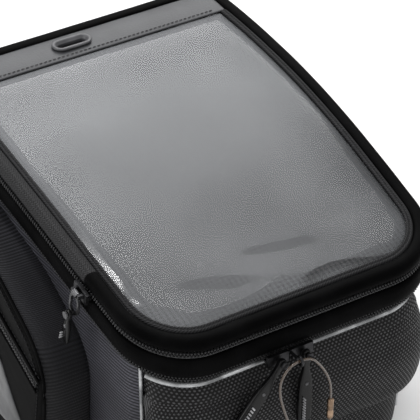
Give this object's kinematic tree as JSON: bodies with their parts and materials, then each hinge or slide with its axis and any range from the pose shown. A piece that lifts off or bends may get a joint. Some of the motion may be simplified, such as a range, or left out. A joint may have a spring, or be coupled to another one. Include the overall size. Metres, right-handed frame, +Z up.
{
  "type": "motorcycle tank bag",
  "caption": "Wedge-shaped motorcycle tank bag with a clear-window map pocket on its lid, side pockets, a rider-end pocket and a quick-release base ring.",
  "frame": {"origin": "centre of the mouth of the quick-release ring, in the plane of its lower face", "axes": "+Z up out of the tank, -Y towards the rider, +X to the rider's right"},
  "size_m": [0.281, 0.3021, 0.1982],
  "materials": {
    "ribbed_fabric": "ballistic nylon with a heavy horizontal rib",
    "dotted_fabric": "PU-coated fabric with a raised dot weave",
    "smooth_fabric": "smooth fine-weave fabric",
    "binding_tape": "woven herringbone binding with a stitched groove",
    "forward_vinyl": "satin grey coated band",
    "clear_film": "clear flexible PVC film",
    "woven_lining": "plain woven lining",
    "stiffener_board": "PE board",
    "zip_tape": "knitted zip tape",
    "zip_coil": "nylon coil",
    "slider_metal": "dark plated die-cast slider",
    "loop_wire": "plated wire",
    "pull_rubber": "moulded soft plastic",
    "grommet_rubber": "dark grey rubber",
    "reflective_piping": "silver-grey retroreflective piping",
    "gloss_panel": "glossy clear-coated panel",
    "moulded_plastic": "glass-filled nylon",
    "latch_plastic": "moulded nylon",
    "screw_steel": "zinc-plated",
    "coated_wire": "steel wire in a smoky brown clear coat",
    "barrel_brass": "brass screw barrel",
    "webbing": "polyester webbing"
  },
  "bodies": {
    "bag_body": {"left_panel": "ribbed_fabric", "right_panel": "ribbed_fabric", "far_panel": "ribbed_fabric", "left_pocket": "ribbed_fabric", "right_pocket": "ribbed_fabric", "near_panel": "dotted_fabric", "near_pocket": "dotted_fabric", "floor_panel": "smooth_fabric", "handle_patches": "binding_tape", "body_liner": "woven_lining", "main_zip_lower_tape": "zip_tape", "main_zip_lower_coil": "zip_coil", "left_pocket_zip": "zip_coil", "right_pocket_zip": "zip_coil", "reflective_piping": "reflective_piping", "left_corner_piping": "reflective_piping", "right_corner_piping": "reflective_piping", "left_pocket_gloss_panel": "gloss_panel", "right_pocket_gloss_panel": "gloss_panel", "base_plate": "moulded_plastic", "quick_release_ring": "moulded_plastic", "ring_screws": "screw_steel", "carry_handle": "webbing"},
    "main_lid": {"lid_side_band": "smooth_fabric", "map_pocket_lining": "woven_lining", "map_pocket_board": "stiffener_board", "map_zip_lower_tape": "zip_tape", "map_zip_lower_coil": "zip_coil", "main_zip_upper_tape": "zip_tape", "main_zip_upper_coil": "zip_coil"},
    "window_lid": {"window_rim": "smooth_fabric", "window_binding": "binding_tape", "window_film": "clear_film", "forward_band": "forward_vinyl", "cable_grommet": "grommet_rubber", "map_zip_upper_tape": "zip_tape", "map_zip_upper_coil": "zip_coil"},
    "main_slider_left": {"main_slider_left": "slider_metal"},
    "main_slider_right": {"main_slider_right": "slider_metal"},
    "main_pull_left": {"main_pull_left": "pull_rubber"},
    "main_pull_right": {"main_pull_right": "pull_rubber"},
    "lock_cable": {"lock_cable": "coated_wire", "cable_barrel": "barrel_brass"},
    "map_slider": {"map_slider": "slider_metal"},
    "map_slider_loop": {"map_slider_loop": "loop_wire"},
    "map_pull": {"map_pull": "pull_rubber"},
    "left_pocket_slider": {"left_pocket_slider": "slider_metal"},
    "left_pocket_pull": {"left_pocket_pull": "pull_rubber"},
    "right_pocket_slider": {"right_pocket_slider": "slider_metal"},
    "right_pocket_pull": {"right_pocket_pull": "pull_rubber"},
    "latch_bolt": {"latch_bolt": "latch_plastic"}
  },
  "joints": [
    {"name": "main_lid_hinge", "type": "hinge", "parent": "bag_body", "child": "main_lid", "pos_m": [0, 0.1395, 0.1689], "axis": [-1, 0, 0], "range_deg": [0, 95]},
    {"name": "window_lid_hinge", "type": "hinge", "parent": "main_lid", "child": "window_lid", "pos_m": [0, 0.1395, 0.1861], "axis": [-1, 0, 0], "range_deg": [0, 95]},
    {"name": "main_slider_left_slide", "type": "slide", "parent": "bag_body", "child": "main_slider_left", "axis": [-1, 0, 0], "range_m": [0, 0.03]},
    {"name": "main_slider_right_slide", "type": "slide", "parent": "bag_body", "child": "main_slider_right", "axis": [1, 0, 0], "range_m": [0, 0.045]},
    {"name": "main_pull_left_swing", "type": "hinge", "parent": "main_slider_left", "child": "main_pull_left", "pos_m": [-0.022, -0.143, 0.12305], "axis": [0, 1, 0], "range_deg": [-36, 20]},
    {"name": "main_pull_right_swing", "type": "hinge", "parent": "main_slider_right", "child": "main_pull_right", "pos_m": [-0.005, -0.143, 0.12305], "axis": [0, 1, 0], "range_deg": [-40, 5]},
    {"name": "lock_cable_swing", "type": "hinge", "parent": "main_slider_right", "child": "lock_cable", "pos_m": [-0.013, -0.1485, 0.12455], "axis": [-1, 0, 0], "range_deg": [0, 40]},
    {"name": "map_slider_slide", "type": "slide", "parent": "main_lid", "child": "map_slider", "axis": [-0.026, 0.9729, 0.23], "range_m": [0, 0.022]},
    {"name": "map_slider_loop_lift", "type": "hinge", "parent": "map_slider", "child": "map_slider_loop", "pos_m": [-0.11272, -0.06577, 0.15886], "axis": [0, 0.9732, 0.23], "range_deg": [0, 80]},
    {"name": "map_pull_swing", "type": "hinge", "parent": "map_slider_loop", "child": "map_pull", "pos_m": [-0.11572, -0.062, 0.1429], "axis": [1, 0, 0], "range_deg": [-60, 5]},
    {"name": "latch_bolt_slide", "type": "slide", "parent": "bag_body", "child": "latch_bolt", "axis": [0, -1, 0], "range_m": [0, 0.0045], "stiffness_N_per_m": 400},
    {"name": "left_pocket_slider_slide", "type": "slide", "parent": "bag_body", "child": "left_pocket_slider", "axis": [0, -0.9135, -0.4067], "range_m": [0, 0.08]},
    {"name": "left_pocket_pull_swing", "type": "hinge", "parent": "left_pocket_slider", "child": "left_pocket_pull", "pos_m": [-0.1379, 0.0402, 0.1289], "axis": [1, 0, 0], "range_deg": [-45, 45]},
    {"name": "right_pocket_slider_slide", "type": "slide", "parent": "bag_body", "child": "right_pocket_slider", "axis": [0, -0.9135, -0.4067], "range_m": [0, 0.08]},
    {"name": "right_pocket_pull_swing", "type": "hinge", "parent": "right_pocket_slider", "child": "right_pocket_pull", "pos_m": [0.1379, 0.0402, 0.1289], "axis": [1, 0, 0], "range_deg": [-45, 45]}
  ]
}
